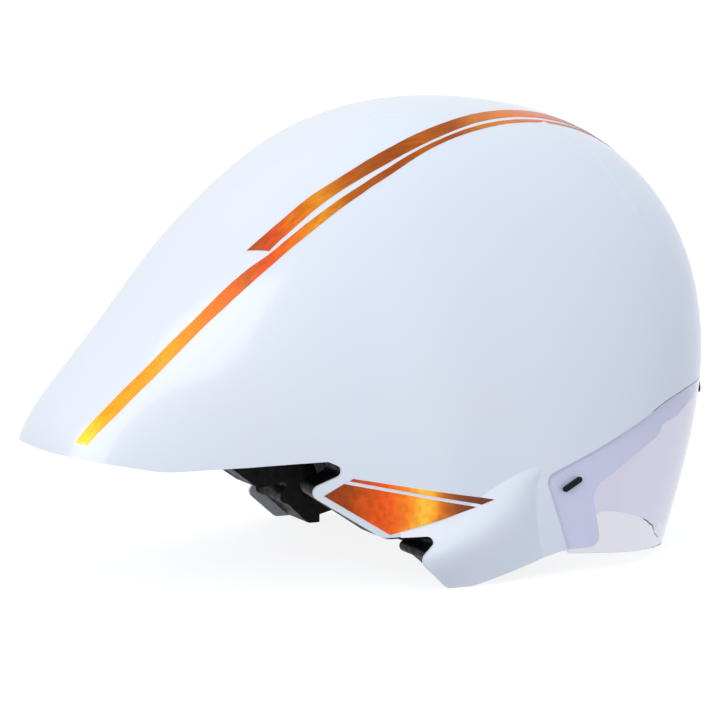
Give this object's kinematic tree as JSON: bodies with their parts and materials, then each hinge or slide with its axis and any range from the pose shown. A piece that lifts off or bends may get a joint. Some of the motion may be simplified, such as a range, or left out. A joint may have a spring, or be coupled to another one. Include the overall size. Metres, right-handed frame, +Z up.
{
  "type": "aero time trial helmet",
  "caption": "Teardrop cycling helmet with a wrap-around clear visor held by magnets, stepped side gills, a turning rear fit dial and tucked webbing.",
  "frame": {"origin": "centre of the helmet's footprint box on the surface that it stands on", "axes": "+X towards the wearer's front, along the helmet's length, +Y to the wearer's left, +Z up"},
  "size_m": [0.3527, 0.2112, 0.2245],
  "materials": {
    "shell_gloss_white": "clear coated gloss white",
    "foam_gloss_black": "smooth skinned black foam",
    "lens_clear": "clear polycarbonate with a faint lavender tint",
    "rubber_black": "soft matte rubber",
    "steel_plain": "plain zinc plated steel",
    "plastic_black": "fine texture moulded nylon",
    "pad_fabric": "brushed knit over foam",
    "web_fabric": "woven polyester webbing",
    "dial_plastic": "satin moulded plastic"
  },
  "bodies": {
    "helmet": {"outer_shell": "shell_gloss_white", "foam_liner": "foam_gloss_black", "tail_floor": "plastic_black", "floor_screw_left": "steel_plain", "floor_screw_right": "steel_plain", "brow_pad": "pad_fabric", "crown_pad_middle": "pad_fabric", "crown_pad_left": "pad_fabric", "crown_pad_right": "pad_fabric", "rear_pad": "pad_fabric", "temple_pad_left": "pad_fabric", "temple_pad_right": "pad_fabric", "chin_web_long": "web_fabric", "chin_web_short": "web_fabric", "chin_pad": "pad_fabric", "web_loop": "rubber_black", "buckle_socket": "plastic_black", "keeper_temple_left": "steel_plain", "keeper_brow_left": "steel_plain", "arm_post_left": "plastic_black", "anchor_front_left": "plastic_black", "anchor_rear_left": "plastic_black", "side_web_front_left": "web_fabric", "side_web_rear_left": "web_fabric", "divider_left": "plastic_black", "keeper_temple_right": "steel_plain", "keeper_brow_right": "steel_plain", "arm_post_right": "plastic_black", "anchor_front_right": "plastic_black", "anchor_rear_right": "plastic_black", "side_web_front_right": "web_fabric", "side_web_rear_right": "web_fabric", "divider_right": "plastic_black"},
    "visor": {"visor_lens": "lens_clear", "button_temple_left": "rubber_black", "button_temple_right": "rubber_black", "button_brow_left": "rubber_black", "button_brow_right": "rubber_black"},
    "cradle": {"nape_plate": "plastic_black", "dial_housing": "plastic_black", "nape_pad_left": "pad_fabric", "nape_pad_right": "pad_fabric", "cradle_arm_left": "plastic_black", "cradle_arm_right": "plastic_black", "strap_clip_left": "plastic_black", "strap_clip_right": "plastic_black"},
    "dial": {"dial_pinion": "plastic_black", "dial_knob": "dial_plastic", "dial_cap": "dial_plastic", "dial_grip": "rubber_black"},
    "strap_left": {"rack_strap_left": "plastic_black", "strap_tab_left": "pad_fabric"},
    "strap_right": {"rack_strap_right": "plastic_black", "strap_tab_right": "pad_fabric"},
    "buckle": {"buckle_tongue": "plastic_black"}
  },
  "joints": [
    {"name": "visor_pull", "type": "slide", "parent": "helmet", "child": "visor", "axis": [1, 0, 0], "range_m": [0, 0.12]},
    {"name": "cradle_tilt", "type": "hinge", "parent": "helmet", "child": "cradle", "pos_m": [0, 0, 0.074], "axis": [0, 1, 0], "range_deg": [-7.5, 7.5]},
    {"name": "dial_turn", "type": "hinge", "parent": "cradle", "child": "dial", "pos_m": [-0.065, 0, 0.066], "axis": [1, 0, 0], "range_deg": [0, 140]},
    {"name": "strap_left_draw", "type": "hinge", "parent": "cradle", "child": "strap_left", "pos_m": [0, 0, 0.066], "axis": [0, 0, 1], "range_deg": [0, 10.8]},
    {"name": "strap_right_draw", "type": "hinge", "parent": "cradle", "child": "strap_right", "pos_m": [0, 0, 0.066], "axis": [0, 0, 1], "range_deg": [-10.8, 0]},
    {"name": "buckle_release", "type": "slide", "parent": "helmet", "child": "buckle", "axis": [0, 0, -1], "range_m": [0, 0.014]}
  ],
  "couplings": [
    {"joint": "strap_left_draw", "follows": "dial_turn", "ratio": 0.0764},
    {"joint": "strap_right_draw", "follows": "dial_turn", "ratio": -0.0745}
  ]
}
